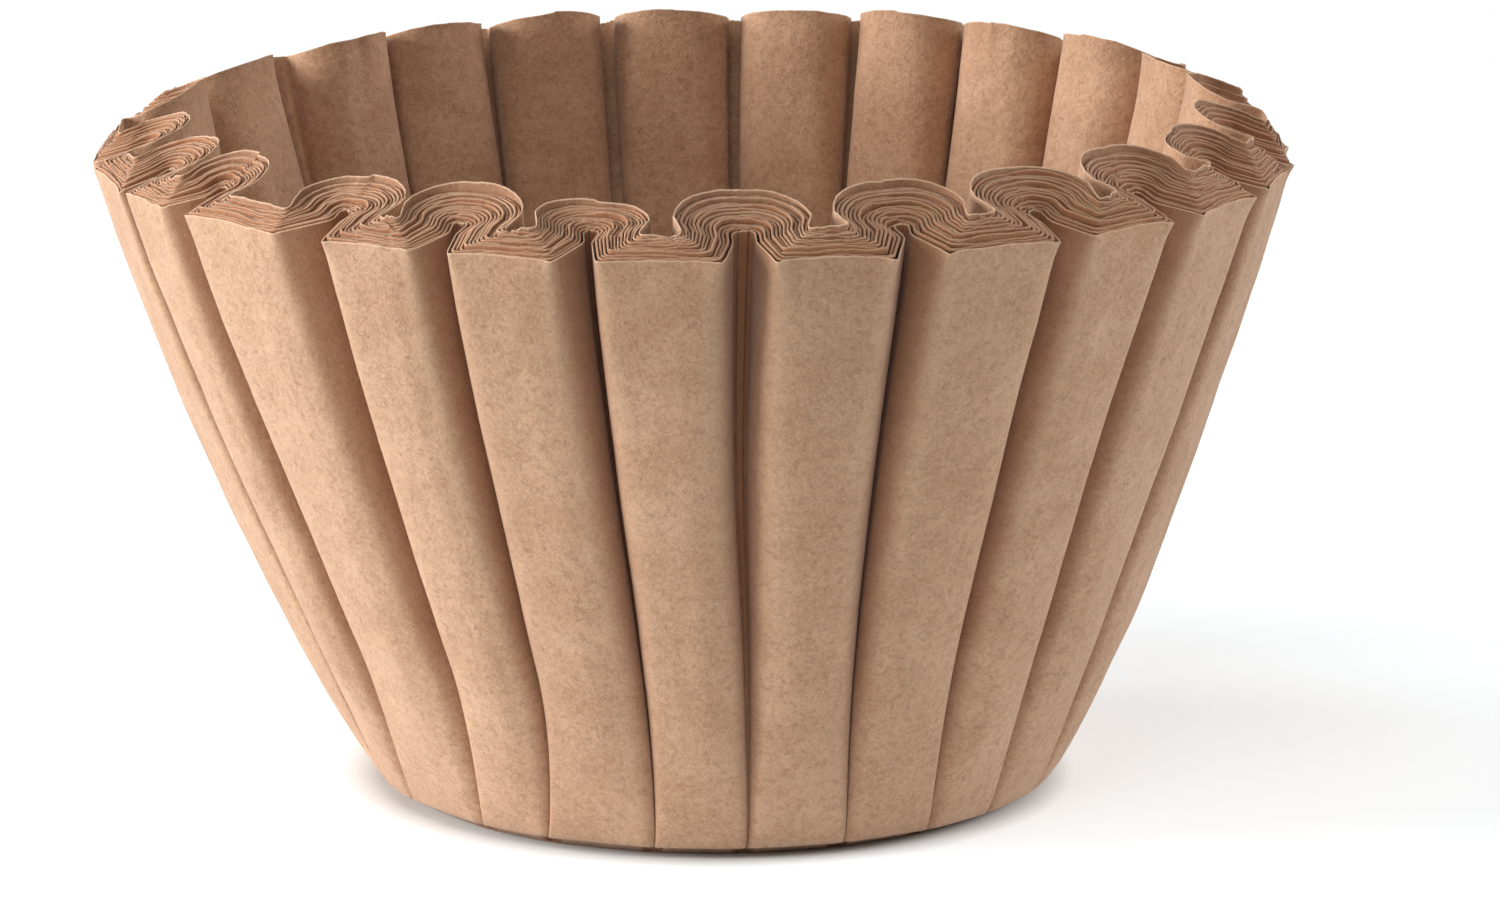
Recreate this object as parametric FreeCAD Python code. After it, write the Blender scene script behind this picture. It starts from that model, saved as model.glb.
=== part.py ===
# Nest of pleated paper basket filters for coffee, pressed together into one block.
# Z points up, the origin is the centre of the flat base, and every length is in millimetres.
# The outermost filter shows flat lands with narrow grooves between them. The filters inside it
# fan out behind each groove into a round lobe, and fold back behind each land into a hollow.
# Every filter is cut from the same disc, so the cut edges climb inwards as thin steps.
import FreeCAD
import Part

import math
import os

NODE = "nested_filters"

SIZES = [
    ("pleat_count", 24, "pleats round the nest"),
    ("first_groove_turn", 6.2, "degrees from +X to the first groove"),
    ("rim_radius", 61.0, "axis to a corner of a land, at the outermost rim"),
    ("rim_height", 65.2, "height of that corner"),
    ("belly_radius", 51.0, "axis to a corner of a land, halfway up, where the wall bulges"),
    ("belly_height", 33.0, "height of the belly"),
    ("heel_radius", 41.0, "axis to a corner of a land, where the wall bends in to the base"),
    ("heel_height", 9.5, "height of the heel"),
    ("toe_radius", 35.4, "axis to the outside, at the top of the pressed bottom edge"),
    ("toe_height", 1.0, "height of the toe"),
    ("base_radius", 33.4, "radius of the flat base that rests on the table"),
    ("wall_thickness", 2.6, "pressed filters behind a land, measured level"),
    ("lobe_thickness", 4.6, "fanned filters from a groove's bottom to the lobe behind it, at the rim"),
    ("floor_thickness", 2.5, "pressed filters under the cup"),
    ("groove_depth", 5.4, "depth of an outside groove, at the rim"),
    ("groove_mouth", 4.2, "width of a groove between its two lands, at the rim"),
    ("groove_width", 2.0, "width of a groove at its bottom, at the rim"),
    ("groove_rounding", 0.6, "rounding in the bottom of a groove"),
    ("land_rounding", 1.4, "rounding along the edges of a land"),
    ("side_thickness", 3.5, "fanned filters from a groove's mouth to the back of a hollow, at the rim"),
    ("lobe_overhang", 1.1, "how far a lobe bulges over each hollow beside it, at the rim"),
    ("lobe_waist", 2.7, "back of a hollow to a lobe's widest place, at the rim"),
    ("lobe_rounding", 6.0, "how far across a lobe its rounded shoulder reaches, at the rim"),
    ("lobe_crown", 9.0, "degrees from a lobe's crest down to its shoulders"),
    ("rim_fall", 0.37, "fall of a cut edge for each millimetre outwards"),
    ("rim_rise", 2.3, "how far the innermost cut edge stands above the outermost"),
    ("rim_steps", 5, "steps that the cut edges are drawn with"),
    ("crease_share", 0.04, "what is left of a pleat where it runs out at the base"),
    ("fade_power", 0.65, "how slowly a pleat fades below the rim, where 1 is evenly"),
]

doc = FreeCAD.newDocument("coffee_filters")


def make_sheet():
    """Put the driving dimensions in a spreadsheet, one alias for each row."""
    table = doc.addObject("Spreadsheet::Sheet", "Sizes")
    for row, (alias, value, note) in enumerate(SIZES, start=1):
        table.set(f"A{row}", alias)
        table.set(f"B{row}", str(value))
        table.set(f"C{row}", note)
        table.setAlias(f"B{row}", alias)
    doc.recompute()
    return table


sheet = make_sheet()


def size(alias):
    """Read one driving dimension from the spreadsheet."""
    return float(sheet.get(alias))


def count(alias):
    """Read a driving count from the spreadsheet."""
    return int(round(size(alias)))


# A pleat is drawn in the frame of its groove: x runs along the rim, y outwards from the axis.
# One half is enough, from the middle of the groove to the edge of the land. Below the rim a
# groove and a hollow keep their shape and shrink, so every fold stays a flat strip of paper.

half_pitch = math.pi / count("pleat_count")

# Creases across a fold at the bottom of a groove, along a land, and round a lobe's shoulder.
GROOVE_CREASES = 2
LAND_CREASES = 3
LOBE_CREASES = 4

# The most of a side that a fold may take up.
LONGEST_SETBACK = 0.45

# How far a corner may stand off a strip that is still drawn as one flat face, and the widest
# seam that is closed between two faces.
FLAT_ENOUGH = 1e-7
SEAM = 0.001


def fold(corner, before, after, rounding, creases):
    """Points that turn a corner on an arc of radius rounding, with creases at even steps."""
    back = before - corner
    ahead = after - corner
    half_angle = back.getAngle(ahead) / 2
    longest = LONGEST_SETBACK * min(back.Length, ahead.Length)
    setback = min(rounding / math.tan(half_angle), longest)
    radius = setback * math.tan(half_angle)
    inwards = (back.normalize() + ahead.normalize()).normalize()
    centre = corner + inwards * (setback / math.cos(half_angle))
    first = corner + back * setback - centre
    last = corner + ahead * setback - centre
    turn = math.pi - 2 * half_angle
    points = []
    for crease in range(creases):
        part = turn * crease / (creases - 1)
        share_of_last = math.sin(part) / math.sin(turn)
        share_of_first = math.sin(turn - part) / math.sin(turn)
        points.append(centre + first * share_of_first + last * share_of_last)
    return points


def outside_pleat(radius, share):
    """Half an outline of the outermost filter: groove bottom, side, and corner of the land."""
    scale = share * radius / size("rim_radius")
    x = size("groove_mouth") / 2 * scale
    angle = math.asin(x / radius)
    corner = FreeCAD.Vector(x, radius * math.cos(angle), 0)
    flat = radius * math.cos(half_pitch - angle)
    land_middle = FreeCAD.Vector(flat * math.sin(half_pitch), flat * math.cos(half_pitch), 0)
    bottom = FreeCAD.Vector(0, corner.y - size("groove_depth") * scale, 0)
    foot = bottom + FreeCAD.Vector(size("groove_width") / 2 * scale, 0, 0)
    points = [bottom]
    points += fold(foot, bottom, corner, size("groove_rounding") * scale, GROOVE_CREASES)
    points += fold(corner, foot, land_middle, size("land_rounding") * scale, LAND_CREASES)
    return points


def beside_hollow(across, outwards):
    """A point given from the middle of a hollow, in the frame of the groove half a pitch away."""
    sine = math.sin(half_pitch)
    cosine = math.cos(half_pitch)
    return FreeCAD.Vector(outwards * sine - across * cosine, outwards * cosine + across * sine, 0)


def inside_pleat(radius, share):
    """Half an outline of the innermost filter behind a land at radius: half a lobe and hollow."""
    rim_back = size("rim_radius") - size("wall_thickness")
    hollow = rim_back * math.tan(half_pitch) - size("groove_mouth") / 2 - size("side_thickness")
    mouth = hollow - size("lobe_overhang")
    lobe_depth = size("groove_depth") + size("lobe_thickness") - size("wall_thickness")
    back = radius - size("wall_thickness")
    scale = share * radius / size("rim_radius")
    shoulder = []
    for crease in range(LOBE_CREASES):
        turn = math.pi / 2 * crease / LOBE_CREASES
        across = mouth + size("lobe_rounding") * (1 - math.cos(turn))
        depth = size("lobe_waist") + (lobe_depth - size("lobe_waist")) * math.sin(turn)
        shoulder.insert(0, beside_hollow(across * scale, back - depth * scale))
    crown = shoulder[0].x * math.tan(math.radians(size("lobe_crown")))
    crest = FreeCAD.Vector(0, shoulder[0].y - crown, 0)
    return [crest] + shoulder + [beside_hollow(hollow * scale, back)]


def blend(first, second, share):
    """Points part of the way from one half outline to another."""
    return [a * (1 - share) + b * share for a, b in zip(first, second)]


def outline(half, height):
    """The closed wire of a whole ring of pleats. height gives Z for a distance from the axis."""
    whole = [FreeCAD.Vector(-point.x, point.y, 0) for point in reversed(half[1:])] + half
    points = []
    for pleat in range(count("pleat_count")):
        turn = math.radians(size("first_groove_turn")) + 2 * half_pitch * pleat
        for point in whole:
            radius = math.hypot(point.x, point.y)
            angle = turn + math.atan2(point.x, point.y)
            points.append(FreeCAD.Vector(radius * math.cos(angle), radius * math.sin(angle),
                                         height(radius)))
    return Part.makePolygon(points + points[:1])


def level(z):
    """A flat ring."""
    return lambda radius: z


def cut_edge(rise):
    """A ring on the rim, where the cut edge falls outwards, lifted by its share of the rise."""
    def height(radius):
        fall = size("rim_fall") * (size("rim_radius") - radius)
        return size("rim_height") + fall + size("rim_rise") * rise
    return height


def pleat_share(z):
    """How much of a pleat is left at a height: all at the rim, and next to nothing at the base."""
    least = size("crease_share")
    return least + (1 - least) * (z / size("rim_height")) ** size("fade_power")


def profiles():
    """The rings that the nest is lofted through: up the outside, over the rim, down the cup."""
    rings = []
    for name in ("base", "toe", "heel", "belly"):
        z = 0.0 if name == "base" else size(name + "_height")
        half = outside_pleat(size(name + "_radius"), pleat_share(z))
        rings.append((name + "_outside", outline(half, level(z))))

    outermost = outside_pleat(size("rim_radius"), 1.0)
    innermost = inside_pleat(size("rim_radius"), 1.0)
    steps = count("rim_steps")
    for step in range(steps):
        height = cut_edge(step / (steps - 1))
        outer_half = blend(outermost, innermost, step / steps)
        inner_half = blend(outermost, innermost, (step + 1) / steps)
        rings.append((f"cut_edge_{step + 1}_outside", outline(outer_half, height)))
        rings.append((f"cut_edge_{step + 1}_inside", outline(inner_half, height)))

    floor = size("floor_thickness")
    for name in ("belly", "heel"):
        z = size(name + "_height")
        half = inside_pleat(size(name + "_radius"), pleat_share(z))
        rings.append((name + "_inside", outline(half, level(z))))
    half = inside_pleat(size("toe_radius"), pleat_share(floor))
    rings.append(("floor_edge", outline(half, level(floor))))
    return rings


def flat_faces(strip):
    """A lofted strip as one flat face, or as two where the paper twists between its creases."""
    corners = [vertex.Point for vertex in strip.OuterWire.OrderedVertexes]
    if len(corners) != 4:
        return [strip]
    a, b, c, d = corners
    across = (b - a).cross(d - a).normalize()
    if abs((c - a).dot(across)) < FLAT_ENOUGH:
        return [Part.Face(Part.makePolygon(corners + [a]))]
    return [Part.Face(Part.makePolygon([a, b, c, a])), Part.Face(Part.makePolygon([a, c, d, a]))]


def make_loft():
    """Loft the pressed nest through its rings."""
    sections = []
    for name, wire in profiles():
        section = doc.addObject("Part::Feature", name)
        section.Shape = wire
        sections.append(section)
    loft = doc.addObject("Part::Loft", "Nest")
    loft.Sections = sections
    loft.Solid = True
    loft.Ruled = True
    loft.Closed = False
    doc.recompute()
    return loft


def make_filters():
    """Fold the lofted nest: the same solid, in flat strips between its creases."""
    faces = []
    for strip in make_loft().Shape.Faces:
        faces += flat_faces(strip)
    folded = Part.Compound(faces)
    folded.sewShape(SEAM)
    filters = doc.addObject("Part::Feature", "Filters")
    filters.Label = NODE
    filters.Shape = Part.Solid(folded.Shells[0])
    return filters


def check(filters):
    """Stop if any object failed, or if the nest is not one valid solid."""
    for item in doc.Objects:
        if "Invalid" in item.State or "Error" in item.State:
            raise RuntimeError(item.Name + " failed: " + ", ".join(item.State))
    shape = filters.Shape
    if shape.isNull() or not shape.isValid():
        raise RuntimeError(filters.Label + " has no valid shape")
    if len(shape.Solids) != 1 or shape.Volume <= 0:
        raise RuntimeError(filters.Label + " is not one solid")


filters = make_filters()
doc.recompute()
check(filters)
os.makedirs("parts", exist_ok=True)
filters.Shape.exportStep("parts/" + filters.Label + ".step")
print(filters.Label, "volume", round(filters.Shape.Volume, 1), "box", filters.Shape.BoundBox)
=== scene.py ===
# Nest of pleated paper basket filters for coffee: every sheet, its paper and the light on it.
# Lengths are in millimetres until a mesh is made, and in metres for the floor, the lamps and the
# camera. A level is a share of the wall's height, 0 at the base and 1 at the rim. The camera
# looks along +Y.
import math
from collections import namedtuple

import bpy
import numpy as np
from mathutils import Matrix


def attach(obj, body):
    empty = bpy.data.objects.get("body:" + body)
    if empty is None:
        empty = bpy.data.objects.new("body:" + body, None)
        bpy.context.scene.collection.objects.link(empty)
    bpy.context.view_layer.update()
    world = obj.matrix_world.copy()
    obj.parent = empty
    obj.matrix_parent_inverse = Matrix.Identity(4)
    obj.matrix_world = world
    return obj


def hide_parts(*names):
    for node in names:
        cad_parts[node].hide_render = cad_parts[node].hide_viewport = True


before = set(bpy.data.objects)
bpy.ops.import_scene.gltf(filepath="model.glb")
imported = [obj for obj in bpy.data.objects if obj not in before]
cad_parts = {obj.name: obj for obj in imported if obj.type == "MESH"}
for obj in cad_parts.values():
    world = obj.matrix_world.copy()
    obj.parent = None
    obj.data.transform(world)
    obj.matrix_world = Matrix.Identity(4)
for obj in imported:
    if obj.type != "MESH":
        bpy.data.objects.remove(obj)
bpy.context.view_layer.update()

MM = 0.001
NODE = "nested_filters"
rng = np.random.default_rng(24)

# Form of the nest, at the rim unless a line says otherwise.
SHEETS = 15
PAPER = 0.095
RIM_RADIUS = 61.0
RIM_HEIGHT = 65.2
BASE_RADIUS = 33.2
BASE_ROUNDING = 0.7
BASE_ROUNDING_HEIGHT = 0.7
BASE_RECESS = 0.978
BASE_RECESS_HEIGHT = 0.65
WALL_BULGE = 3.15
BULGE_PLACE_POWER = 0.75
BULGE_FULLNESS_POWER = 0.7
WALL_THICKNESS = 2.6
FLOOR_THICKNESS = 2.4
GROOVE_DEPTH = 5.4
RIM_FALL = 0.37
RIM_RISE = 2.3
CREASE_SHARE = 0.015
FADE_POWER = 0.65
MOUTH_FADE_POWER = 0.33

# A groove of the outermost sheet: half the width of its bottom, how far that bottom is crowned,
# where its neck lies in its depth, how much of the mouth the neck may take, and how its folds
# and the land's corner are rounded. The corner is softer towards the base.
BOTTOM_HALF_WIDTH = 0.8
BOTTOM_CROWN = 0.1
NECK_DEPTH = 0.62
NECK_LIMIT = 0.6
GROOVE_ROUNDING = 0.7
CORNER_ROUNDING = 0.6
CORNER_SOFTENING = 2.2
CORNER_MOUTH_POWER = 0.6

# How far a land's middle stands out, which it doesn't at the rim and hardly does at the base.
PILLOW = 1.1
PILLOW_POWER = 0.6
PILLOW_START = 4

# A lobe of the innermost sheet. The least sizes keep it open where it is narrow.
LOBE_OVERHANG = 1.1
LOBE_WAIST = 2.7
LOBE_ROUNDING = 6.0
LOBE_CROWN = 0.14
HOLLOW_ROUNDING = 0.8
LEAST_HOLLOW = 1.3
LEAST_WAIST = 0.35
LEAST_CREST = 0.3

# A fold takes no more than this share of a side, and nothing is straighter than this cosine.
FOLD_REACH = 0.7
STRAIGHTEST = 0.999

# Nothing shows between the sheets up to this level. There a hidden wall keeps to a part of the
# nest's thickness: the first share on the sheets between, the second on the outermost and the
# innermost sheet.
HIDDEN_BELOW = 0.965
HIDDEN_SPREAD = 0.3
SHOWN_SPREAD = 0.6

# At a lobe's crest the innermost sheet stands off the rest, which end at this share of the
# depth. A cut edge is swollen, to this much of the room that each sheet has.
LOOSE_SHEET_DEPTH = 0.945
SWOLLEN_EDGE = 0.62

# How much painted shade, the dark that is painted between the sheets, the bottom of a groove has;
# the recess under the base has it in full. In a groove it starts with the first share at the base
# and grows upwards.
GROOVE_SHADE = 1.6
SHADE_AT_BASE = 0.3
SHADE_GROWTH = 2

# How much painted shade darkens the outermost sheet under the front of the rim, from which level
# up and over what height, and round which turn and how wide, in degrees.
RIM_SHADE = 0.65
RIM_SHADE_FROM = 0.6
RIM_SHADE_HEIGHT = 0.35
RIM_SHADE_TURN = -1
RIM_SHADE_WIDTH = 25

# How pale the cut edge of a covered sheet and of one of the two loose ones is.
EDGE_PALE = (0.3, 1.0)

# The nest leans: its rim lies a little to the left of its base, and its heel to the right. The
# outer filters rise towards the camera and the inner ones towards the right.
LEAN = -2.6
LEAN_POWER = 1.1
BASE_SHIFT = 0.9
HEEL_SHIFT = 0.55
RIM_TILT_FRONT = 0.018
INNER_TILT_RIGHT = 0.012

# The corners of the outer sheets' lands curl out near the rim, each by an amount in this range.
CURL = (0.1, 0.6)
CURL_FROM = 0.955
CURL_HEIGHT = 0.045
CURL_LOSS = 9

# Dents of the paper from broad to fine: cells up the wall and round it, and their depth on the
# outermost and the innermost sheet. They start with this share at the base and grow upwards.
DENT_CELLS = ((7, 60), (16, 150), (40, 330))
OUTER_DENTS = (0.13, 0.05, 0.03)
INNER_DENTS = (0.22, 0.09, 0.04)
DENTS_AT_BASE = 0.1
DENTS_GROWTH = 3

# How far the innermost sheet stands off at a lobe's crest, as a range of shares.
LOBE_GAP = (0.3, 1.0)

# A cut edge: how far a sheet slips up or down, its long and its short waves with their number
# round the rim, and its fibres. The outermost sheet is more even, the innermost less.
EDGE_SLIP = 0.2
EDGE_WAVES = (0.2, 90)
EDGE_RIPPLES = (0.11, 260)
EDGE_FIBRES = 0.05
UNEVENNESS = {0: 0.4, SHEETS - 1: 1.5}

# How much redder the sheets between the outermost and the innermost are, as a range.
TONE = (0.2, 1)

# Rings of each filter's floor, as shares of its edge.
FLOOR_RINGS = (0.5, 0.96)

# A groove bends between the base and the rim, most where a level to this power is a half, and
# once more below the second of these levels. It also wanders by this much, in radians.
BEND_PLACE_POWER = 0.6
BASE_TURN_HEIGHT = 0.3
WANDER = 0.012

# Grooves round the nest. The turn is in degrees from the camera's side, to the right. left and
# right are how far the lands beside a groove stand back from its middle, throat is half of its
# narrowest width, and half_lobe is half the width of the lobe behind it. The last two are how
# many degrees it has turned a third of the way up and at the base.
Groove = namedtuple("Groove", "turn left right throat half_lobe lobe_depth bend base_turn")
GROOVES = [Groove(*row) for row in (
    (-82.0, 2.6, 1.0, 0.4, 6.2, 7.4, 2.0, -4.0),
    (-67.7, 0.8, 0.6, 0.3, 6.0, 7.2, 2.8, -7.0),
    (-55.4, 3.4, 1.0, 0.4, 5.6, 7.0, 2.6, -8.5),
    (-36.6, 5.0, 1.0, 0.5, 6.4, 6.8, 0.8, -7.0),
    (-23.4, 2.8, 0.9, 0.35, 6.5, 7.2, 0.6, -7.0),
    (-9.8, 2.7, 1.2, 0.3, 5.9, 5.8, 1.2, -1.4),
    (5.1, 2.3, 2.5, 1.1, 7.0, 7.4, -0.1, -0.3),
    (21.1, 2.4, 2.6, 0.3, 7.1, 7.4, -1.5, 1.2),
    (36.5, 1.0, 3.4, 0.45, 7.2, 7.2, -2.2, 2.6),
    (51.2, 0.9, 3.7, 0.5, 6.9, 7.3, -3.0, 1.8),
    (67.0, 1.0, 3.2, 0.4, 6.4, 7.0, -2.5, 1.0),
    (81.0, 1.6, 2.4, 0.5, 6.4, 7.2, -1.2, 0),
    (96.1, 2.1, 1.7, 0.6, 6.6, 7.4, 0, 0),
    (111.2, 1.6, 2.2, 0.4, 6.8, 7.0, 0, 0),
    (126.4, 2.0, 1.8, 0.5, 6.6, 7.6, 0, 0),
    (141.5, 2.4, 1.5, 0.6, 6.3, 7.1, 0, 0),
    (154.6, 1.7, 2.1, 0.4, 6.2, 7.5, 0, 0),
    (168.3, 2.2, 1.9, 0.5, 6.4, 7.2, 0, 0),
    (182.4, 1.5, 2.4, 0.7, 6.5, 7.0, 0, 0),
    (196.8, 2.3, 1.7, 0.4, 6.5, 7.5, 0, 0),
    (210.6, 1.8, 2.0, 0.5, 6.3, 7.1, 0, 0),
    (223.2, 2.0, 1.6, 0.4, 6.0, 7.4, 0, 0),
    (241.5, 1.7, 2.2, 0.5, 6.9, 7.2, 0, -0.5),
    (259.8, 2.1, 1.8, 0.5, 7.4, 7.3, 1.0, -2.0),
)]

# Points on half a pleat, from the middle of the groove to the middle of the land.
CREST_POINTS = 3
FOLD_POINTS = 5
NECK_POINTS = 2
LAND_POINTS = 7
HALF_POINTS = CREST_POINTS + FOLD_POINTS + NECK_POINTS + FOLD_POINTS + LAND_POINTS
PER_PLEAT = 2 * (HALF_POINTS - 1)
COLUMNS = PER_PLEAT * len(GROOVES)


def wall_radius(level):
    """Axis to a land's corner on the outermost sheet."""
    z = level * RIM_HEIGHT
    slope = (RIM_RADIUS - BASE_RADIUS - BASE_ROUNDING) / RIM_HEIGHT
    rounding = BASE_ROUNDING * (1 - math.exp(-z / BASE_ROUNDING_HEIGHT))
    fullness = max(math.sin(math.pi * level ** BULGE_PLACE_POWER), 0) ** BULGE_FULLNESS_POWER
    return BASE_RADIUS + rounding + slope * z + WALL_BULGE * fullness


def along(start, end, number):
    """Points from start towards end, without end."""
    return [start + (end - start) * k / number for k in range(number)]


def fold(corner, before, after, rounding, number):
    """Points that turn a corner on a smooth curve."""
    back = before - corner
    ahead = after - corner
    back_length = np.linalg.norm(back)
    ahead_length = np.linalg.norm(ahead)
    cosine = np.clip(back @ ahead / (back_length * ahead_length), -STRAIGHTEST, STRAIGHTEST)
    setback = rounding / math.tan(math.acos(cosine) / 2)
    setback = min(setback, FOLD_REACH * back_length, FOLD_REACH * ahead_length)
    first = corner + back / back_length * setback
    last = corner + ahead / ahead_length * setback
    steps = [k / (number - 1) for k in range(number)]
    return [first * (1 - k) ** 2 + corner * 2 * k * (1 - k) + last * k * k for k in steps]


def on_land(radius, x, pitch):
    """A land's corner, x from the groove's middle, and its middle, half a pitch away."""
    corner = np.array([x, math.sqrt(radius ** 2 - x ** 2)])
    flat = radius * math.cos(pitch - math.asin(x / radius))
    return corner, np.array([flat * math.sin(pitch), flat * math.cos(pitch)])


def land(start, middle, rise, pitch):
    """Points from the end of a fold to a land's middle, which stands out by rise."""
    points = np.array(along(start, middle, LAND_POINTS + 1)[1:] + [middle])
    part = np.linspace(0, 1, LAND_POINTS + 2)[1:]
    out = np.array([math.sin(pitch), math.cos(pitch)])
    return (points + np.outer(rise * np.sin(part * math.pi / 2), out))[:LAND_POINTS]


def outer_half(radius, share, mouth, pitch, groove):
    """The outermost sheet, from a groove's bottom to the middle of the land beside it."""
    fade = share ** FADE_POWER
    scale = fade * radius / RIM_RADIUS
    mouth = mouth * share ** MOUTH_FADE_POWER * radius / RIM_RADIUS
    corner, middle = on_land(radius, mouth, pitch)
    bottom = corner[1] - GROOVE_DEPTH * fade
    throat = min(groove.throat * scale, NECK_LIMIT * mouth)
    crest = np.array([0, bottom])
    shoulder = np.array([max(throat, BOTTOM_HALF_WIDTH * scale), bottom + BOTTOM_CROWN * fade])
    neck = np.array([throat, corner[1] - NECK_DEPTH * GROOVE_DEPTH * fade])
    points = along(crest, shoulder, CREST_POINTS + 1)[:-1]
    points += fold(shoulder, crest, neck, GROOVE_ROUNDING * scale, FOLD_POINTS)
    points += fold(neck, shoulder, corner, GROOVE_ROUNDING * scale, NECK_POINTS)
    rounding = CORNER_ROUNDING + CORNER_SOFTENING * (1 - share) ** 0.5
    rounding = rounding * mouth ** CORNER_MOUTH_POWER
    rise = PILLOW * (1 - share) ** PILLOW_POWER * min(1, PILLOW_START * share)
    out = np.array([math.sin(pitch), math.cos(pitch)])
    points += fold(corner, neck, middle + out * rise * math.pi / 2, rounding, FOLD_POINTS)
    return np.concatenate([points, land(points[-1], middle, rise, pitch)])


def inner_half(radius, share, mouth, pitch, groove):
    """The innermost sheet, from a lobe's crest to the middle of the hollow beside it."""
    scale = share ** FADE_POWER * radius / RIM_RADIUS
    back = radius - WALL_THICKNESS
    hollow = (RIM_RADIUS - WALL_THICKNESS) * math.tan(pitch) - groove.half_lobe + LOBE_OVERHANG
    hollow = max(hollow, LEAST_HOLLOW)
    waist = max(hollow - LOBE_OVERHANG, LEAST_WAIST)
    crest_pitch = (RIM_RADIUS - WALL_THICKNESS - groove.lobe_depth) * math.tan(pitch)
    reach = min(LOBE_ROUNDING, crest_pitch - waist - LEAST_CREST)
    turns = np.linspace(math.pi / 2, 0, CREST_POINTS + FOLD_POINTS - 1)
    across = (waist + reach * (1 - np.cos(turns))) * scale
    outwards = back - (LOBE_WAIST + (groove.lobe_depth - LOBE_WAIST) * np.sin(turns)) * scale
    turned = np.array([[math.sin(pitch), math.cos(pitch)], [-math.cos(pitch), math.sin(pitch)]])
    shoulder = np.stack([outwards, across], 1) @ turned
    corner, middle = np.array([[back, hollow * scale], [back, 0]]) @ turned
    crest = np.array([0, shoulder[0][1] - LOBE_CROWN * shoulder[0][0]])
    points = along(shoulder[-1], corner, NECK_POINTS + 2)[1:-1]
    points += fold(corner, points[-1], middle, HOLLOW_ROUNDING * scale, FOLD_POINTS)
    return np.concatenate([[crest], shoulder, points, land(points[-1], middle, 0, pitch)])


def groove_turns(level):
    """Where the grooves lie at a level, in radians."""
    bend = math.sin(math.pi * level ** BEND_PLACE_POWER)
    near_base = max(0.0, 1 - level / BASE_TURN_HEIGHT) ** 2
    strays = field_at(wander, level) * WANDER * (1 - level)
    degrees = [row.turn + row.bend * bend + row.base_turn * near_base for row in GROOVES]
    return [math.radians(turn) + stray for turn, stray in zip(degrees, strays)]


def ring(half_of, level):
    """A whole ring of pleats on one surface of the nest, as distance from the axis and turn."""
    share = CREASE_SHARE + (1 - CREASE_SHARE) * level
    radius = wall_radius(level)
    turns = groove_turns(level)
    lengths, angles = [], []
    for i, groove in enumerate(GROOVES):
        last = turns[i - 1] if i else turns[-1] - 2 * math.pi
        following = turns[i + 1] if i + 1 < len(turns) else turns[0] + 2 * math.pi
        middle = turns[i]
        left = half_of(radius, share, groove.left, (middle - last) / 2, groove)
        right = half_of(radius, share, groove.right, (following - middle) / 2, groove)
        whole = np.concatenate([left[:0:-1] * (-1, 1), right[:-1]])
        lengths.append(np.hypot(whole[:, 0], whole[:, 1]))
        angles.append(middle + np.arctan2(whole[:, 0], whole[:, 1]))
    return np.concatenate(lengths), np.concatenate(angles)


def soft_noise(rows, columns, row_cells, column_cells):
    """Smooth noise from -1 to 1 on a grid that closes on itself from side to side."""
    values = rng.uniform(-1, 1, (row_cells + 3, column_cells))

    def weights(count, cells, closed):
        position = np.arange(count) * cells / (count if closed else max(count - 1, 1))
        cell = np.minimum(position.astype(int), cells - 1)
        part = position - cell
        return cell, part * part * (3 - 2 * part)

    row, row_part = weights(rows, row_cells, False)
    column, column_part = weights(columns, column_cells, True)
    next_column = (column + 1) % column_cells
    here = values[:, column] * (1 - column_part) + values[:, next_column] * column_part
    return here[row] * (1 - row_part)[:, None] + here[row + 1] * row_part[:, None]


# How far a point of the outline lies from the middle of its groove, 0, to that of a land, 1.
place_in_pleat = np.abs(np.arange(PER_PLEAT) - (HALF_POINTS - 1)) / (HALF_POINTS - 1)
place = np.tile(place_in_pleat, len(GROOVES))

# How much a point belongs to a lobe's crest, to a land's corner and to the bottom of a groove.
CREST_END = 0.45
CORNER_PLACE = 0.6
CORNER_WIDTH = 0.09
GROOVE_END = 0.65
GROOVE_EDGE = 0.23
GROOVE_EDGE_POWER = 1.3
# A land's corner also places a painted highlight on its fold, and a groove's bottom painted shade.
crest_part = np.clip(1 - place / CREST_END, 0, 1)
corner_part = np.exp(-((place - CORNER_PLACE) / CORNER_WIDTH) ** 2)
groove_part = np.clip((GROOVE_END - place) / GROOVE_EDGE, 0, 1) ** GROOVE_EDGE_POWER

FIELD_LEVELS = 64


def dent_field(depths):
    """Dents of all sizes on one surface of the nest."""
    fields = [depth * soft_noise(FIELD_LEVELS, COLUMNS, *cells)
              for depth, cells in zip(depths, DENT_CELLS)]
    return sum(fields)


outer_dents = dent_field(OUTER_DENTS)
inner_dents = dent_field(INNER_DENTS)
wander = soft_noise(FIELD_LEVELS, len(GROOVES), 3, len(GROOVES))
lobe_gap = rng.uniform(*LOBE_GAP, len(GROOVES)).repeat(PER_PLEAT)
flare = rng.uniform(*CURL, len(GROOVES) * 2).repeat(PER_PLEAT // 2)


def field_at(field, level):
    """A row of a noise field at a level of the wall."""
    position = level * (FIELD_LEVELS - 1)
    row = min(int(position), FIELD_LEVELS - 2)
    part = position - row
    return field[row] * (1 - part) + field[row + 1] * part


surface_rings = {}


def surface_ring(level):
    """The outer and the inner ring at a level, as flat points."""
    key = round(level, LEVEL_DIGITS)
    if key not in surface_rings:
        pair = []
        for half_of, dents in ((outer_half, outer_dents), (inner_half, inner_dents)):
            lengths, angles = ring(half_of, level)
            growth = min(1, DENTS_GROWTH * level + DENTS_AT_BASE)
            lengths = lengths + field_at(dents, level) * growth
            pair.append(np.stack([lengths * np.sin(angles), -lengths * np.cos(angles)], 1))
        surface_rings[key] = pair
    return surface_rings[key]


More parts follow.
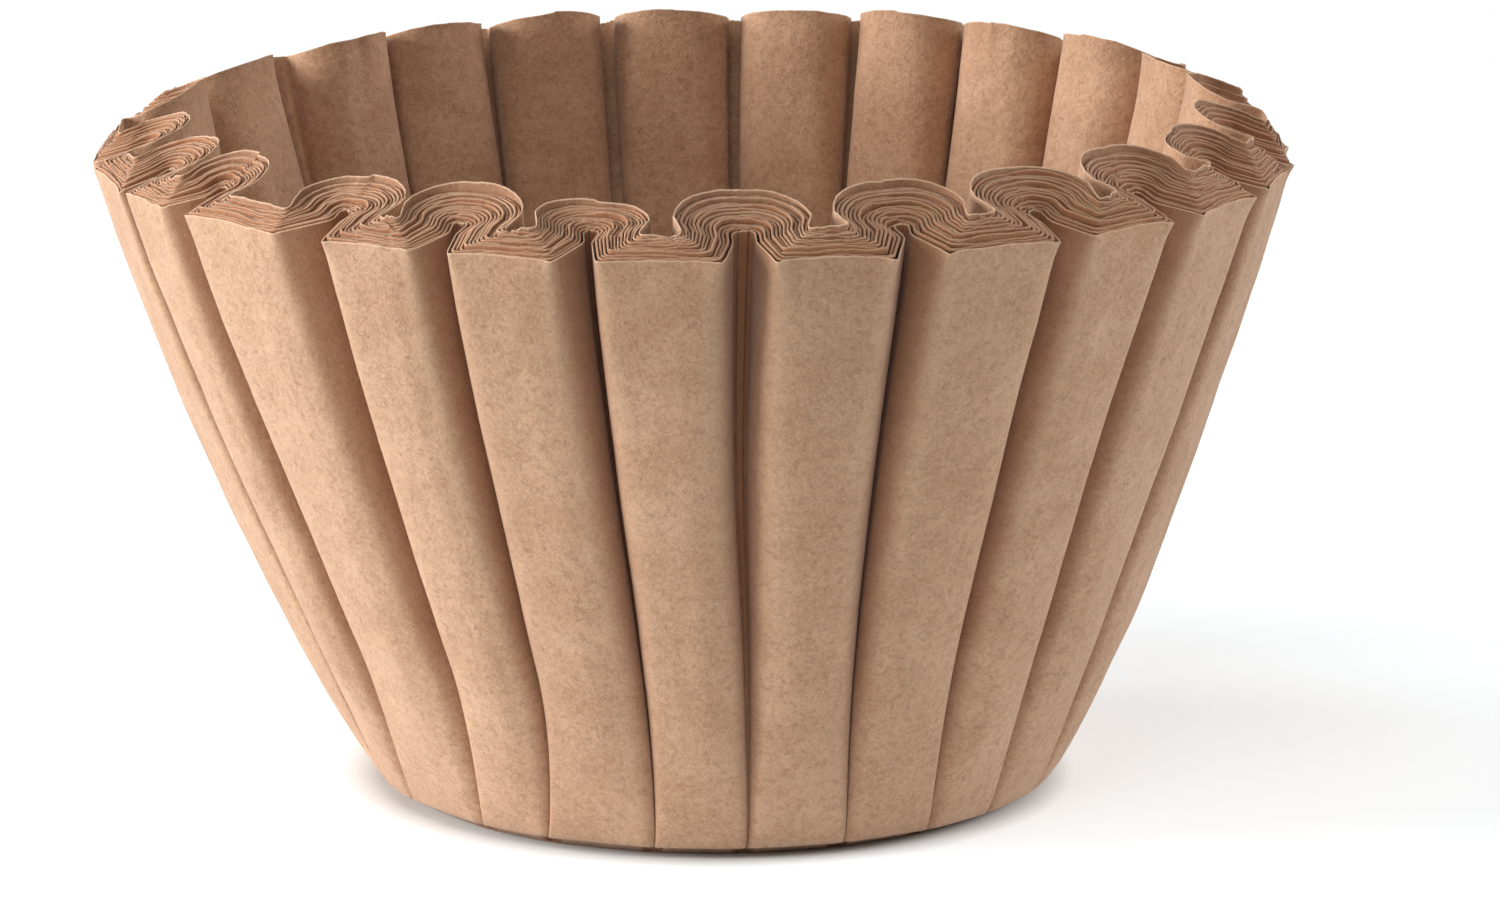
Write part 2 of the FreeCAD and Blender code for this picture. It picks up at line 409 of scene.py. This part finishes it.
def sheet_ring(level, depth, number, hidden):
    """One sheet's ring at a level. depth is 0 on the outermost sheet and 1 on the innermost."""
    outer, inner = surface_ring(level)
    pressed = depth if number == SHEETS - 1 else min(depth, LOOSE_SHEET_DEPTH)
    gap = crest_part * lobe_gap * level
    shares = (depth * (1 - gap) + pressed * gap)[:, None]
    if hidden and level <= HIDDEN_BELOW:
        spread = SHOWN_SPREAD if number in (0, SHEETS - 1) else HIDDEN_SPREAD
        shares = 0.5 + (shares - 0.5) * spread
    points = outer * (1 - shares) + inner * shares
    curl = max(0.0, (level - CURL_FROM) / CURL_HEIGHT) ** 2 * max(0.0, 1 - CURL_LOSS * depth)
    lengths = np.linalg.norm(points, axis=1)
    return points * (1 + curl * corner_part * flare / lengths)[:, None]


def inwards(points):
    """Unit vectors across a closed ring of flat points, towards the inside of the sheet."""
    run = np.roll(points, -1, 0) - np.roll(points, 1, 0)
    run /= np.linalg.norm(run, axis=1)[:, None]
    return np.stack([-run[:, 1], run[:, 0]], 1)


def add_height(points, level, depth, cut, lift):
    """Stand a ring up: its own height on the sheet, the lean and the tilt of the rim."""
    radius = np.linalg.norm(points, axis=1)
    floor = FLOOR_THICKNESS * depth
    top = RIM_HEIGHT + RIM_FALL * (RIM_RADIUS - radius) + RIM_RISE * depth + cut
    tilt = INNER_TILT_RIGHT * depth * points[:, 0] - RIM_TILT_FRONT * (1 - depth) * points[:, 1]
    z = floor + lift + (top + tilt - floor - lift) * level
    lean = LEAN * math.sin(math.pi / 2 * level) ** LEAN_POWER
    x = points[:, 0] + BASE_SHIFT + HEEL_SHIFT * (1 - np.exp(-z)) + lean
    return np.stack([x, points[:, 1], z], 1)


def make_mesh(name, rows, bottom, top, marks):
    """Close rows of points into one mesh, with a middle point at each end."""
    count = len(rows[0])
    points = np.concatenate([np.array([bottom])] + rows + [np.array([top])]) * MM
    faces = []
    column = np.arange(count)
    following = (column + 1) % count
    for row in range(len(rows) - 1):
        near = 1 + row * count
        far = near + count
        faces.append(np.stack([near + column, near + following, far + following, far + column], 1))
    quads = np.concatenate(faces)
    last = 1 + (len(rows) - 1) * count
    end = last + count
    fans = np.concatenate([
        np.stack([np.zeros(count, int), 1 + following, 1 + column], 1),
        np.stack([np.full(count, end), last + column, last + following], 1)])
    mesh = bpy.data.meshes.new(name)
    mesh.from_pydata(points.tolist(), [], quads.tolist() + fans.tolist())
    mesh.polygons.foreach_set("use_smooth", [True] * len(mesh.polygons))
    for mark, values in marks.items():
        layer = mesh.attributes.new(mark, "FLOAT", "POINT")
        layer.data.foreach_set("value", values.astype(np.float32))
    mesh.update()
    return mesh


def rim_shade(points, level):
    """Painted shade below the rim, most on the camera's side: how far it darkens the wall."""
    rise = min(max((level - RIM_SHADE_FROM) / RIM_SHADE_HEIGHT, 0.0), 1.0)
    turn = np.degrees(np.arctan2(points[:, 0], -points[:, 1]))
    facing = np.exp(-((turn - RIM_SHADE_TURN) / RIM_SHADE_WIDTH) ** 2)
    return RIM_SHADE * rise * rise * (3 - 2 * rise) * facing


# Levels of a wall's rings: many on the two walls that show, few on those between them.
LEVEL_DIGITS = 5
EVEN_LEVELS = np.linspace(0, 1, 44)
BASE_LEVELS = (0.004, 0.009, 0.016, 0.026, 0.04, 0.06)
RIM_LEVELS = 1 - np.geomspace(0.002, 0.05, 7)
SHOWN_LEVELS = np.unique(np.round([*EVEN_LEVELS, *BASE_LEVELS, *RIM_LEVELS], LEVEL_DIGITS))
HIDDEN_LEVELS = (0, 0.02, 0.2, 0.42, 0.64, 0.82, HIDDEN_BELOW, 0.9895, 0.998, 1)


def make_sheet(number, outer_levels, inner_levels):
    """One filter of the nest: its wall outside, its cut edge, its wall inside and its floor."""
    depth = number / (SHEETS - 1)
    outermost = number == 0
    innermost = number == SHEETS - 1
    between = not outermost and not innermost
    edge_pale = EDGE_PALE[not between]
    uneven = UNEVENNESS.get(number, 1.0)
    slip = rng.uniform(-EDGE_SLIP, EDGE_SLIP) * uneven
    cut = (slip + EDGE_WAVES[0] * uneven * soft_noise(1, COLUMNS, 1, EDGE_WAVES[1])[0]
           + EDGE_RIPPLES[0] * uneven * soft_noise(1, COLUMNS, 1, EDGE_RIPPLES[1])[0]
           + EDGE_FIBRES * rng.uniform(-1, 1, COLUMNS))
    rows = []
    # The marks: a painted highlight on the folds, painted shade between the sheets and in grooves,
    # a pale cut edge, and painted shade under the front of the rim.
    marks = {"arris_highlight": [], "gap": [], "pale": [], "shade": []}

    def add_row(points, arris_highlight=0.0, gap=0.0, pale=0.0, shade=0.0):
        rows.append(points)
        for mark, value in zip(marks, (arris_highlight, gap, pale, shade)):
            marks[mark].append(np.broadcast_to(value, COLUMNS))

    floor = FLOOR_THICKNESS * depth
    start = add_height(sheet_ring(0, depth, number, False), 0, depth, cut, 0)
    for share in FLOOR_RINGS:
        add_row(start * (share, share, 1))
    if outermost:
        # The recess under the base gets painted shade in full.
        foot = start * (BASE_RECESS, BASE_RECESS, 1)
        add_row(foot, gap=GROOVE_SHADE)
        add_row(foot + (0, 0, BASE_RECESS_HEIGHT), gap=GROOVE_SHADE)
        outer_levels = [level for level in outer_levels if level * RIM_HEIGHT > BASE_RECESS_HEIGHT]
    for level in outer_levels:
        at_rim = level == 1
        points = sheet_ring(level, depth, number, not outermost)
        # Painted shade: on the outer walls of all but the outermost sheet, and in the outermost
        # sheet's grooves.
        painted_shade = 1.0
        if outermost:
            painted_shade = GROOVE_SHADE * groove_part * min(1, SHADE_AT_BASE + SHADE_GROWTH * level)
        add_row(add_height(points, level, depth, cut, 0), corner_part * level,
                0.0 if at_rim else painted_shade, edge_pale * at_rim,
                rim_shade(points, level) * outermost)
    for level in reversed(inner_levels):
        at_rim = level == 1
        points = sheet_ring(level, depth, number, not innermost)
        if between and level > HIDDEN_BELOW:
            points = sheet_ring(level, depth + SWOLLEN_EDGE / (SHEETS - 1), number, True)
        else:
            points = points + inwards(points) * PAPER
        # Painted shade on the inner walls of all sheets but the innermost.
        add_row(add_height(points, level, depth, cut, PAPER), corner_part * level,
                float(not innermost and not at_rim), edge_pale * at_rim)
    for share in reversed(FLOOR_RINGS):
        add_row(start * (share, share, 1) + (0, 0, PAPER))
    values = {mark: np.concatenate([[0], *value, [0]]) for mark, value in marks.items()}
    tone = rng.uniform(*TONE) if between else 0.0
    values["tone"] = np.full(len(rows) * COLUMNS + 2, tone)
    name = f"filter_{number + 1:02d}"
    mesh = make_mesh(name, rows, (0, 0, floor), (0, 0, floor + PAPER), values)
    piece = bpy.data.objects.new(mesh.name, mesh)
    bpy.context.scene.collection.objects.link(piece)
    return piece


def node(tree, kind, place, **settings):
    """Add a shader node and set its plain values."""
    made = tree.nodes.new(kind)
    made.location = place
    for name, value in settings.items():
        if name in made.inputs:
            made.inputs[name].default_value = value
        else:
            setattr(made, name, value)
    return made


def mix_colour(tree, place, first, second, factor, mode="MIX"):
    """Mix two colours or sockets."""
    made = node(tree, "ShaderNodeMix", place, data_type="RGBA", blend_type=mode)
    for socket, value in ((6, first), (7, second), (0, factor)):
        if isinstance(value, bpy.types.NodeSocket):
            tree.links.new(value, made.inputs[socket])
        else:
            made.inputs[socket].default_value = value
    return made.outputs[2]


def mul(tree, value, factor):
    """A value times a number."""
    made = node(tree, "ShaderNodeMath", (-500, -200), operation="MULTIPLY")
    tree.links.new(value, made.inputs[0])
    made.inputs[1].default_value = factor
    return made.outputs[0]


def noise(tree, place, vector, scale, detail, roughness, distortion):
    """A noise texture's plain value."""
    made = node(tree, "ShaderNodeTexNoise", place, Scale=scale, Detail=detail,
                Roughness=roughness, Distortion=distortion)
    tree.links.new(vector, made.inputs["Vector"])
    return made.outputs["Fac"]


def ramp(tree, place, value, low, high):
    """Stretch a value so that low becomes 0 and high becomes 1."""
    made = tree.nodes.new("ShaderNodeMapRange")
    made.location = place
    made.inputs["From Min"].default_value = low
    made.inputs["From Max"].default_value = high
    tree.links.new(value, made.inputs["Value"])
    return made.outputs["Result"]


# The paper's clouds, flecks and fibres: a noise's scale, detail, roughness and distortion, and the
# values of it that become 0 and 1. Then their colours. Flecks and fibres lie on the clouds, each
# with how much of it is mixed in.
TEXTURES = (
    ((150, 5, 0.6, 0.0), (0.36, 0.64)),
    ((1300, 4, 0.65, 0.8), (0.45, 0.68)),
    ((3200, 3, 0.7, 1.5), (0.42, 0.62)),
)
CLOUDS = ((0.51, 0.28, 0.158, 1), (0.62, 0.37, 0.228, 1))
FLECKS = ((0.31, 0.145, 0.07, 1), 0.58)
FIBRES = ((0.84, 0.6, 0.43, 1), 0.36)
# Multiplied in as painted shade under the front of the rim.
PAINTED_RIM_SHADE = (0.72, 0.7, 0.67, 1)

# The paper's fine and coarse bumps: a noise as above, with its strength and its height in metres.
FINE_BUMPS = ((2200, 4, 0.7, 1.0), 0.8, 0.00016)
COARSE_BUMPS = ((330, 4, 0.6, 0.0), 0.7, 0.0005)

PAPER_FINISH = {
    "Roughness": 0.75,
    "Specular IOR Level": 0.2,
    "Sheen Weight": 0.26,
    "Sheen Tint": (1.0, 0.93, 0.85, 1),
    "Sheen Roughness": 0.5,
}

# The meshes' marks that colour the paper: a painted highlight on folds, a tone from sheet to
# sheet, painted shade between sheets and in grooves, and pale cut edges.
MARK_COLOURS = (
    ("arris_highlight", (0.78, 0.52, 0.34, 1), 0.3),
    ("tone", (0.48, 0.18, 0.07, 1), 0.7),
    ("gap", (0.28, 0.1, 0.036, 1), 0.5),
    ("pale", (0.92, 0.64, 0.43, 1), 0.8),
)


def marked(tree, place, name):
    """The value of a mesh's mark."""
    return node(tree, "ShaderNodeAttribute", place, attribute_name=name).outputs["Fac"]


def bumps(tree, place, place_on, settings):
    """Bumps of one size on the paper."""
    row, strength, height = settings
    made = node(tree, "ShaderNodeBump", (place, -500), Strength=strength, Distance=height)
    tree.links.new(noise(tree, (place - 200, -700), place_on, *row), made.inputs["Height"])
    return made


def kraft_paper():
    """Unbleached filter paper, mottled, fibrous and matte: pale cut edges, a painted highlight on
    its folds, and painted shade under the rim, between the sheets and in the grooves.
    """
    material = bpy.data.materials.new("filter_paper")
    material.use_nodes = True
    tree = material.node_tree
    tree.nodes.clear()
    place_on = node(tree, "ShaderNodeTexCoord", (-1400, 0)).outputs["Object"]
    clouds, flecks, fibres = [
        ramp(tree, (-900, 200 * i), noise(tree, (-1100, 200 * i), place_on, *row), *ends)
        for i, (row, ends) in enumerate(TEXTURES)]
    colour = mix_colour(tree, (-600, 400), *CLOUDS, clouds)
    for i, (speck, (added, share)) in enumerate(((flecks, FLECKS), (fibres, FIBRES))):
        colour = mix_colour(tree, (200 * i - 400, 300), colour, added, mul(tree, speck, share))
    # Painted shade under the front of the rim.
    shade = marked(tree, (-800, -300), "shade")
    colour = mix_colour(tree, (-100, 200), colour, PAINTED_RIM_SHADE, shade, "MULTIPLY")
    for i, (name, added, share) in enumerate(MARK_COLOURS):
        mark = marked(tree, (-800, -100 * i - 400), name)
        colour = mix_colour(tree, (100 * i, 200), colour, added, mul(tree, mark, share))

    fine = bumps(tree, 200, place_on, FINE_BUMPS)
    coarse = bumps(tree, 400, place_on, COARSE_BUMPS)
    tree.links.new(fine.outputs["Normal"], coarse.inputs["Normal"])
    shader = node(tree, "ShaderNodeBsdfPrincipled", (600, 0), **PAPER_FINISH)
    tree.links.new(colour, shader.inputs["Base Color"])
    tree.links.new(coarse.outputs["Normal"], shader.inputs["Normal"])
    output = node(tree, "ShaderNodeOutputMaterial", (900, 0))
    tree.links.new(shader.outputs[0], output.inputs[0])
    return material


def make_filters():
    """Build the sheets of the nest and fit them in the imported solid's place."""
    paper = kraft_paper()
    for number in range(SHEETS):
        outer = SHOWN_LEVELS if number == 0 else HIDDEN_LEVELS
        inner = SHOWN_LEVELS if number == SHEETS - 1 else HIDDEN_LEVELS
        piece = make_sheet(number, outer, inner)
        piece.data.materials.append(paper)
        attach(piece, "root")
        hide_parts(NODE)


# The floor also glows round the nest: not at all up to the first distance of the ring, which
# paints a contact shadow round the base, and in full from the second, by one strength for the rays
# that see a white room and by another for the rest.
FLOOR_HALF = 6.0
FLOOR_COLOUR = (0.79, 0.87, 0.92, 1)
GLOW_RING = (0.0335, 0.0385)
GLOW_SEEN = 0.54
GLOW_UNSEEN = 0.28
WHITE = (1, 1, 1, 1)


def make_floor():
    """A white floor that still takes the nest's soft shadow, with a painted contact shadow round
    the base.
    """
    mesh = bpy.data.meshes.new("floor")
    corners = [(-1, -1, 0), (1, -1, 0), (1, 1, 0), (-1, 1, 0)]
    mesh.from_pydata([(x * FLOOR_HALF, y * FLOOR_HALF, z) for x, y, z in corners], [],
                     [(0, 1, 2, 3)])
    floor = bpy.data.objects.new("floor", mesh)
    bpy.context.scene.collection.objects.link(floor)
    material = bpy.data.materials.new("floor")
    material.use_nodes = True
    tree = material.node_tree
    tree.nodes.clear()
    diffuse = node(tree, "ShaderNodeBsdfDiffuse", (0, 0), Color=FLOOR_COLOUR)
    place_on = node(tree, "ShaderNodeTexCoord", (-1100, -300)).outputs["Object"]
    away = node(tree, "ShaderNodeVectorMath", (-900, -300), operation="LENGTH")
    tree.links.new(place_on, away.inputs[0])
    # No glow near the base: a painted contact shadow.
    clear = ramp(tree, (-700, -300), away.outputs["Value"], *GLOW_RING)
    pick = node(tree, "ShaderNodeMixShader", (200, -300))
    tree.links.new(white_rays(tree, (-300, -300)), pick.inputs[0])
    for socket, strength in ((1, GLOW_UNSEEN), (2, GLOW_SEEN)):
        glow = node(tree, "ShaderNodeEmission", (0, -200 * socket), Color=WHITE)
        tree.links.new(mul(tree, clear, strength), glow.inputs["Strength"])
        tree.links.new(glow.outputs[0], pick.inputs[socket])
    both = node(tree, "ShaderNodeAddShader", (400, 0))
    tree.links.new(diffuse.outputs[0], both.inputs[0])
    tree.links.new(pick.outputs[0], both.inputs[1])
    output = node(tree, "ShaderNodeOutputMaterial", (600, 0))
    tree.links.new(both.outputs[0], output.inputs[0])
    mesh.materials.append(material)


def white_rays(tree, place):
    """1 for the rays that see a white room: the camera's, and those sent on by gloss or glass."""
    path = node(tree, "ShaderNodeLightPath", place)
    seen = path.outputs["Is Camera Ray"]
    for name in ("Is Glossy Ray", "Is Transmission Ray"):
        either = node(tree, "ShaderNodeMath", place, operation="MAXIMUM")
        tree.links.new(seen, either.inputs[0])
        tree.links.new(path.outputs[name], either.inputs[1])
        seen = either.outputs[0]
    return seen


# Each lamp's turn from the camera's side, to the right, its rise, both in degrees, its distance,
# its width, its power in watts and its colour. All of them face a point at this height.
LAMPS = (
    ("key", -74, 14, 1.3, 0.5, 12.4, (1.0, 0.975, 0.945)),
    ("edge", -104, 14, 1.3, 0.4, 9, (1.0, 0.995, 0.99)),
    ("rim", 104, 16, 1.4, 0.6, 8.5, (1.0, 0.965, 0.94)),
    ("fill", -10, 56, 1.6, 0.8, 7, (1.0, 0.97, 0.945)),
)
LIT_HEIGHT = 0.03
ROOM_UNSEEN = 0.1
ROOM_SEEN = 1.0


def area_light(name, turn, rise, distance, width, power, colour):
    """A square lamp that faces the nest."""
    data = bpy.data.lights.new(name, "AREA")
    data.size = width
    data.energy = power
    data.color = colour
    lamp = bpy.data.objects.new(name, data)
    a, b = math.radians(turn), math.radians(rise)
    lamp.location = (distance * math.sin(a) * math.cos(b), -distance * math.cos(a) * math.cos(b),
                     distance * math.sin(b) + LIT_HEIGHT)
    lamp.rotation_euler = (math.pi / 2 - b, 0, a)
    bpy.context.scene.collection.objects.link(lamp)


def light_scene():
    """Two lamps at the left, one at the right, one above, and a room that looks white."""
    for lamp in LAMPS:
        area_light(*lamp)
    world = bpy.data.worlds.new("room")
    world.use_nodes = True
    tree = world.node_tree
    tree.nodes.clear()
    pick = node(tree, "ShaderNodeMixShader", (200, 0))
    tree.links.new(white_rays(tree, (-300, 0)), pick.inputs[0])
    for socket, strength in ((1, ROOM_UNSEEN), (2, ROOM_SEEN)):
        room = node(tree, "ShaderNodeBackground", (0, -200 * socket), Color=WHITE,
                    Strength=strength)
        tree.links.new(room.outputs[0], pick.inputs[socket])
    output = node(tree, "ShaderNodeOutputWorld", (400, 0))
    tree.links.new(pick.outputs[0], output.inputs[0])
    bpy.context.scene.world = world


# The camera, fitted to the photograph: its sensor and its lens in millimetres, its shift as a
# share of the picture's width, and its rise, in degrees, and distance from the point it faces.
SENSOR_WIDTH = 36.0
LENS = 195.7
LENS_SHIFT = (0.0312, 0.0022)
CAMERA_RISE = 13.02
CAMERA_DISTANCE = 0.84
CAMERA_AIM_HEIGHT = 0.0326
CLIP = (0.05, 30)


def make_camera():
    """Look along +Y from a little above, as the photograph does."""
    data = bpy.data.cameras.new("camera")
    data.sensor_width = SENSOR_WIDTH
    data.lens = LENS
    data.shift_x, data.shift_y = LENS_SHIFT
    data.clip_start, data.clip_end = CLIP
    camera = bpy.data.objects.new("camera", data)
    rise = math.radians(CAMERA_RISE)
    camera.location = (0, -CAMERA_DISTANCE * math.cos(rise),
                       CAMERA_AIM_HEIGHT + CAMERA_DISTANCE * math.sin(rise))
    camera.rotation_euler = (math.pi / 2 - rise, 0, 0)
    bpy.context.scene.collection.objects.link(camera)
    bpy.context.scene.camera = camera


make_camera()
make_filters()
make_floor()
light_scene()
bpy.context.scene.view_settings.view_transform = "Standard"
